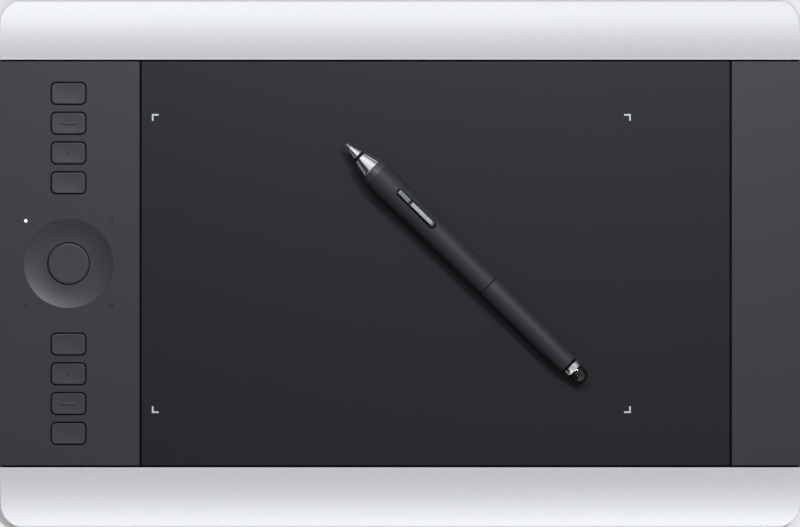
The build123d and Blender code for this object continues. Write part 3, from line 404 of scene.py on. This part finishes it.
RING_RADIUS = 21.1 * MM
RING_HOLE = 10.2 * MM
RING_DISH = 1.2 * MM
RING_LIP = 0.6 * MM
BUTTON_RADIUS = 9.7 * MM
BUTTON_EDGE = 0.5 * MM
BUTTON_DISH = 0.12 * MM
BUTTON_FLANGE = 11.3 * MM
UNDERCUT = 11.6 * MM


def turned_points(section, centre=(0, 0, 0), axis=(0, 0, 1), start=(1, 0, 0), steps=160):
    """A turned shape: a section of (radius, distance along the axis) pairs goes round the
    axis through centre."""
    radius, along = np.array(section).T
    axis, first = np.array(axis), np.array(start)
    second = np.cross(axis, first)
    angle = np.linspace(0, 2 * np.pi, steps, endpoint=False)
    around = np.cos(angle)[:, None] * first + np.sin(angle)[:, None] * second
    return (radius[:, None, None] * around[None] + along[:, None, None] * axis
            + np.array(centre))


ring_low, ring_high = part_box("touch_ring")
ring_centre = ((ring_low.x + ring_high.x) / 2, (ring_low.y + ring_high.y) / 2, 0)
share = np.linspace(1, 0, 30)
lip_bottom = ring_high.z - RING_DISH - RING_LIP
flange_reach = (ring_high.x - ring_low.x) / 2
ring_section = [
    *zip(RING_HOLE + share * (RING_RADIUS - RING_HOLE), ring_high.z - RING_DISH * (1 - share ** 2)),
    (RING_HOLE, lip_bottom), (UNDERCUT, lip_bottom), (UNDERCUT, ring_low.z),
    (flange_reach, ring_low.z), (flange_reach, flange_top), (RING_RADIUS, flange_top),
]
ring_grey = finish("ring_grey", linear(26, 27, 31), 0.42, specular=0.27, grain=0.2,
                   depth=3e-6, mottle=0.03, edge=0.05, worn=0)
ring = skin("touch_ring_dish", [turned_points(ring_section, ring_centre)],
            closed_u=True, closed_v=True)
stand_for(ring, ring_grey, "touch_ring")

button_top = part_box("ring_button")[1].z
button_section = [
    (0, lip_bottom - FLANGE_THICKNESS), (BUTTON_FLANGE, lip_bottom - FLANGE_THICKNESS),
    (BUTTON_FLANGE, lip_bottom), (BUTTON_RADIUS, lip_bottom),
    *[(BUTTON_RADIUS - inset, height) for inset, height in rolled_edge(0, button_top, BUTTON_EDGE)],
    *[(BUTTON_RADIUS * s, button_top - BUTTON_DISH * (1 - s * s)) for s in (0.8, 0.6, 0.4, 0.2, 0)],
]
button = skin("ring_button_cap", [turned_points(button_section, ring_centre)], closed_v=True)
stand_for(button, key_grey, "ring_button")
# The button's side and flange, down in the gap inside the ring, are painted black as painted shade.
paint_shade_below(button, button_top - BUTTON_EDGE, black_chassis_and_shade)

# Four light pipes stand on a square around the ring. One is lit to show the ring's setting.
wear(lamp_finish("light_lit", linear(196, 199, 204), 0.3), "status_light_lit")
wear(finish("light_smoked", linear(24, 25, 28), 0.35, specular=0.3, grain=0.2), "status_lights")


# --- Left end --------------------------------------------------------------------------
# The connector is a folded steel shell on the main board, seen through the panel's skirt.
# The power button beside it is a small sprung cap.

wear(rolled_steel, "usb_socket")
wear(key_grey, "power_button")


# --- Pen -------------------------------------------------------------------------------
# The pen lies free on the sheet. Its axis and its switch side come from the frame's joints:
# the nib slides along the axis, and the switch rocks across it.

joints = {joint["name"]: joint for joint in frame["joints"]}
ALONG = np.array(joints["pen_nib_press"]["axis"])
ACROSS = np.array(joints["pen_switch_rock"]["axis"])
SWITCH_SIDE = np.cross(ACROSS, ALONG)
PIVOT_AT = 42.5 * MM
PIVOT_HEIGHT = 3.9 * MM
PEN_TIP = (np.array(joints["pen_switch_rock"]["pos_m"])
           - PIVOT_AT * ALONG - PIVOT_HEIGHT * SWITCH_SIDE)


def softened(points, edge=0.25, steps=5):
    """A closed line of (radius, distance) points in millimetres with its corners rounded:
    sharp corners over edge, and slight bends over nearly the whole of the runs beside."""
    points = np.array(points, float)
    line = []
    for n, corner in enumerate(points):
        before, after = points[n - 1] - corner, points[(n + 1) % len(points)] - corner
        reach = [np.linalg.norm(before), np.linalg.norm(after)]
        bend = np.dot(before, after) / (reach[0] * reach[1])
        room = 0.48 * min(reach)
        take = room if bend < -0.9 else min(edge, room)
        start, end = corner + before * take / reach[0], corner + after * take / reach[1]
        for t in np.linspace(0, 1, steps):
            line.append((1 - t) ** 2 * start + 2 * t * (1 - t) * corner + t * t * end)
    return np.array(line) * MM


def pen_piece(node, outline, material, edge=0.25, solid=False, steps=112):
    """A turned pen piece in place of a node, from its outline of (distance from the tip,
    radius) points. A solid piece's outline starts and ends on the axis."""
    if solid:
        ends = [[(r * MM, s * MM)] for s, r in (outline[0], outline[-1])]
        body = softened([(r, s) for s, r in outline], edge)
        section = np.concatenate([ends[0], body[5:-5], ends[1]])
    else:
        section = softened([(r, s) for s, r in outline], edge)
    points = turned_points(section, PEN_TIP, ALONG, SWITCH_SIDE, steps)
    piece = skin(f"{node}_turned", [points], closed_u=not solid, closed_v=True)
    stand_for(piece, material, node)
    return piece


def along_pen(distance):
    """How far a distance from the tip, in millimetres, lies along ALONG in the frame."""
    return float(PEN_TIP @ ALONG) + distance * MM


pen_turn = Vector(ALONG).to_track_quat("Z", "Y").inverted().to_euler()
pen_metal = finish("turned_metal", linear(214, 216, 220), 0.14, metallic=1.0, grain=0.3,
                   depth=2e-6, mottle=0.02, stretch=(1, 1, 6), turn=pen_turn, edge=0.05)
# The collar's dark grey, which is also used as painted shade in the gap between the two nose pieces.
collar_grey_and_gap_shade = finish("collar_grey_and_gap_shade", linear(34, 35, 38), 0.5, specular=0.25, grain=0.2, depth=3e-6)
front = pen_piece("pen_nose_front",
                  [(2.4, 0.9), (2.4, 1.15), (3.8, 1.5), (5.7, 2.3), (7.8, 3.0), (7.8, 2.4),
                   (12, 2.4), (12, 0.9)], pen_metal, edge=0.15)
# The front piece's rear spigot, seen in the gap before the cone, is painted dark grey as painted shade.
paint_shade_below(front, -along_pen(7.85), collar_grey_and_gap_shade, -ALONG)
cone = pen_piece("pen_nose_cone",
                 [(9.2, 2.45), (9.2, 3.5), (11.4, 4.3), (13.3, 4.9), (15.2, 5.45), (17, 5.9),
                  (17, 3.65), (20.2, 3.65), (20.2, 3.0), (12.3, 3.0), (12.3, 2.45)],
                 pen_metal)
# The cone's front face, in the same gap, is painted dark grey as painted shade.
paint_shade_below(cone, along_pen(9.3), collar_grey_and_gap_shade, ALONG)
pen_piece("pen_collar", [(17, 4.95), (17, 5.95), (20.5, 6.8), (20.5, 4.95)],
          collar_grey_and_gap_shade, edge=0.2)

# The grip is a sleeve of soft rubber with a slot for the switch. The barrel behind it is
# moulded in plastic with a satin face.
wear(finish("grip_rubber", linear(27, 28, 31), 0.58, specular=0.16, grain=0.16, depth=5e-6,
            mottle=0.04, worn=0.2), "pen_grip")
pen_plastic = finish("pen_plastic", linear(27, 28, 31), 0.56, specular=0.17, grain=0.18,
                     depth=3e-6, mottle=0.03, edge=0.05)
pen_piece("pen_barrel",
          [(95, 4.25), (95, 5.9), (120, 5.7), (142.5, 5.35), (148, 5.15), (148, 4.25)],
          pen_plastic, edge=0.3)
tail_ring = pen_piece("pen_tail_ring",
                      [(144.2, 2.9), (144.2, 3.65), (148, 3.65), (148, 3.9), (149, 3.9),
                       (149, 4.5), (150.8, 4.5), (152, 4.2), (152, 2.9)],
                      pen_metal, edge=0.2)
# The groove between the ring and the barrel, and the ring's part inside the barrel, are painted black as painted
# shade in the gap.
paint_shade_below(tail_ring, along_pen(149.05), black_chassis_and_shade, ALONG)
PEN_LENGTH = 159
ERASER_RADIUS = 3.75
dome = [(PEN_LENGTH - ERASER_RADIUS * (1 - math.sin(a)), ERASER_RADIUS * math.cos(a))
        for a in np.radians(np.linspace(0, 90, 14))]
pen_piece("pen_eraser",
          [(144.2, 0), (144.2, 2.8), (152.5, 2.8), (152.5, ERASER_RADIUS), *dome[:-1],
           (PEN_LENGTH, 0)],
          finish("eraser_gloss", linear(4, 4, 5), 0.06, specular=0.5, grain=0.6, depth=2e-6,
                 uneven=0.03), edge=0.15, solid=True)
NIB_RADIUS = 0.8
tip = [(NIB_RADIUS * (1 - math.cos(a)), NIB_RADIUS * math.sin(a))
       for a in np.radians(np.linspace(0, 90, 10))]
pen_piece("pen_nib", [(0, 0), *tip[1:], (21, NIB_RADIUS), (21, 0)],
          finish("nib_plastic", linear(66, 67, 70), 0.45, grain=0.15),
          edge=0.1, solid=True)

# The switch is one rocker of grey plastic. Its two ends rise from a groove between them. It
# stands clear of the sides of its slot, and ROCKER_SHIFT nearer to one of them.
ROCKER_WIDTH = 2.3
ROCKER_SHIFT = -0.22
ROCKER_BOTTOM = 4.0
ROCKER_EDGE = 0.25
# Height over the pen's axis below which the rocker's sides are painted black as painted shade.
ROCKER_SHADE_HEIGHT = 6.2
SKIRT_ENDS = (32.8, 57.6)
SKIRT_WIDTH = 3.5
SKIRT_TOP = 4.5
ROCKER_LINE = ((33.3, 6.7), (34.2, 7.05), (40.4, 6.55), (40.8, 6.05), (41.5, 6.05),
               (41.9, 6.6), (55.2, 7.0), (56.3, 6.6))


def rocker_points():
    """The rocker: a cap in the pen's own axes whose top follows ROCKER_LINE, as height over
    the distance from the tip."""
    at, height = np.array(ROCKER_LINE).T
    section = [(0, ROCKER_BOTTOM - height[0]), *rolled_edge(0, 0, ROCKER_EDGE),
               *[(inset, 0) for inset in np.linspace(ROCKER_EDGE, ROCKER_WIDTH / 2, 5)[1:]]]
    points = cap_points(((at[0] + at[-1]) / 2, ROCKER_SHIFT), (at[-1] - at[0], ROCKER_WIDTH),
                        0.6, section, per_side=90)
    lift = np.interp(points[..., 0], at, height)
    places = (points[..., :1] * ALONG + points[..., 1:2] * ACROSS
              + (points[..., 2] + lift)[..., None] * SWITCH_SIDE)
    return PEN_TIP + places * MM


rocker = skin("rocker", [rocker_points()], closed_v=True)
stand_for(rocker, finish("switch_grey", linear(64, 66, 70), 0.36, specular=0.25, grain=0.16,
                         depth=3e-6, edge=0.05, worn=0), "pen_switch")
# The rocker's sides, down in its slot, are painted black as painted shade.
paint_shade_below(rocker, float(PEN_TIP @ SWITCH_SIDE) + ROCKER_SHADE_HEIGHT * MM, black_chassis_and_shade,
             SWITCH_SIDE)

# A thin black skirt round the rocker fills the slot under it: a dark sheet painted in as the slot's shade, over
# the board below.
shade_skirt = cap_points(((SKIRT_ENDS[0] + SKIRT_ENDS[1]) / 2, 0),
                   (SKIRT_ENDS[1] - SKIRT_ENDS[0], SKIRT_WIDTH), SKIRT_WIDTH / 2 - 0.05,
                   [(0, ROCKER_BOTTOM), (0, SKIRT_TOP), (SKIRT_WIDTH / 2, SKIRT_TOP)])
shade_skirt = skin("rocker_skirt", [PEN_TIP + MM * (shade_skirt[..., :1] * ALONG + shade_skirt[..., 1:2] * ACROSS
                                              + shade_skirt[..., 2:] * SWITCH_SIDE)], closed_v=True)
shade_skirt.data.materials.append(black_chassis_and_shade)
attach(shade_skirt, "pen_switch")


# --- Floor, lamps and camera -----------------------------------------------------------
# A white floor, one small bright lamp beyond the far right, a wide soft one beyond the far
# edge, and a sky that is brightest half way up and has a dark ring about its left end. The
# camera sees a plain pale backdrop in place of the sky.

FLOOR_SIZE = 12.0
BACKDROP = (0.9, 0.915, 0.94, 1)
COOL = (0.93, 0.95, 1.0)
CAMERA_HEIGHT = 2.537
CAMERA_LENS = 240
SKY_LEAN = -4.5
SKY_PEAK = 1.31
SKY_BY_HEIGHT = ((0, 0.2), (0.15, 0.36), (0.35, 0.8), (0.62, 1.0), (0.85, 0.7), (1, 0.4))
DARK_SIDE = (-0.97, -0.24, 0.0)
SKY_BY_SIDE = ((0, 0.5), (0.25, 0.7), (0.45, 1.0), (0.7, 0.95), (0.76, 0.6), (0.83, 0.05),
               (0.95, 0.05), (1, 0.9))
bpy.ops.mesh.primitive_plane_add(size=FLOOR_SIZE)
floor = bpy.context.object
floor.name = "floor"
floor_white = finish("floor_white", linear(226, 226, 227), 0.8, specular=0.1, grain=4,
                     depth=1e-5, mottle=0.004)
floor.data.materials.append(floor_white)


def lamp(name, kind, place, energy, **settings):
    """A lamp at a place, aimed at the middle of the deck."""
    data = bpy.data.lights.new(name, kind)
    data.energy = energy
    for key, value in settings.items():
        setattr(data, key, value)
    light = bpy.data.objects.new(name, data)
    light.location = place
    light.rotation_euler = Vector(place).to_track_quat("Z", "Y").to_euler()
    bpy.context.scene.collection.objects.link(light)
    return light


def flag_off(light, pieces):
    """Keeps a lamp's light off some pieces, as a flag on a stand does."""
    flagged = bpy.data.collections.new(f"off_{light.name}")
    for piece in pieces:
        flagged.objects.link(piece)
    for member in flagged.collection_objects:
        member.light_linking.link_state = "EXCLUDE"
    light.light_linking.receiver_collection = flagged


bright = [bpy.data.objects[name] for name in ("rear_rail_shell", "front_rail_shell",
          "pen_nose_front_turned", "pen_nose_cone_turned", "pen_tail_ring_turned")]
key = lamp("key", "SUN", (0.3, 0.42, 1.0), 1.66, angle=math.radians(1.5), color=COOL)
strip = lamp("far_strip", "AREA", (0.03, 0.32, 0.56), 5.8, shape="RECTANGLE", size=0.6,
             size_y=0.12, color=COOL)
flag_off(key, bright)
flag_off(strip, [*bright, floor])

world = bpy.data.worlds.new("studio")
bpy.context.scene.world = world
world.use_nodes = True
nodes, links = world.node_tree.nodes, world.node_tree.links
sky = nodes["Background"]
direction = nodes.new("ShaderNodeTexCoord")
lean = nodes.new("ShaderNodeVectorRotate")
lean.rotation_type = "X_AXIS"
lean.inputs["Angle"].default_value = math.radians(SKY_LEAN)
links.new(direction.outputs["Generated"], lean.inputs["Vector"])
split = nodes.new("ShaderNodeSeparateXYZ")
links.new(lean.outputs["Vector"], split.inputs["Vector"])


def sky_curve(socket, points):
    """How bright the sky is along a direction: a smooth curve through (input, output)."""
    node = nodes.new("ShaderNodeFloatCurve")
    curve = node.mapping.curves[0]
    curve.points[0].location, curve.points[1].location = points[0], points[-1]
    for place in points[1:-1]:
        curve.points.new(*place)
    node.mapping.update()
    links.new(socket, node.inputs["Value"])
    return node.outputs["Value"]


towards_dark = nodes.new("ShaderNodeVectorMath")
towards_dark.operation = "DOT_PRODUCT"
towards_dark.inputs[1].default_value = DARK_SIDE
links.new(direction.outputs["Generated"], towards_dark.inputs[0])
sideways = nodes.new("ShaderNodeMapRange")
sideways.inputs["From Min"].default_value = -1
links.new(towards_dark.outputs["Value"], sideways.inputs["Value"])
by_direction = nodes.new("ShaderNodeMath")
by_direction.operation = "MULTIPLY"
links.new(sky_curve(split.outputs["Z"], SKY_BY_HEIGHT), by_direction.inputs[0])
links.new(sky_curve(sideways.outputs["Result"], SKY_BY_SIDE), by_direction.inputs[1])
strength = nodes.new("ShaderNodeMath")
strength.operation = "MULTIPLY"
links.new(by_direction.outputs["Value"], strength.inputs[0])
strength.inputs[1].default_value = SKY_PEAK
links.new(strength.outputs["Value"], sky.inputs["Strength"])
white = nodes.new("ShaderNodeBackground")
rays = nodes.new("ShaderNodeLightPath")
choice = nodes.new("ShaderNodeMixShader")
links.new(rays.outputs["Is Camera Ray"], choice.inputs["Fac"])
links.new(sky.outputs["Background"], choice.inputs[1])
links.new(white.outputs["Background"], choice.inputs[2])
white.inputs["Color"].default_value = BACKDROP
sky.inputs["Color"].default_value = (1, 1, 1, 1)
links.new(choice.outputs["Shader"], nodes["World Output"].inputs["Surface"])

camera_data = bpy.data.cameras.new("camera")
camera_data.lens = CAMERA_LENS
camera_data.sensor_width = 36
camera = bpy.data.objects.new("camera", camera_data)
camera.location = (0, 0, CAMERA_HEIGHT)
bpy.context.scene.collection.objects.link(camera)
bpy.context.scene.camera = camera
bpy.context.scene.view_settings.view_transform = "Standard"
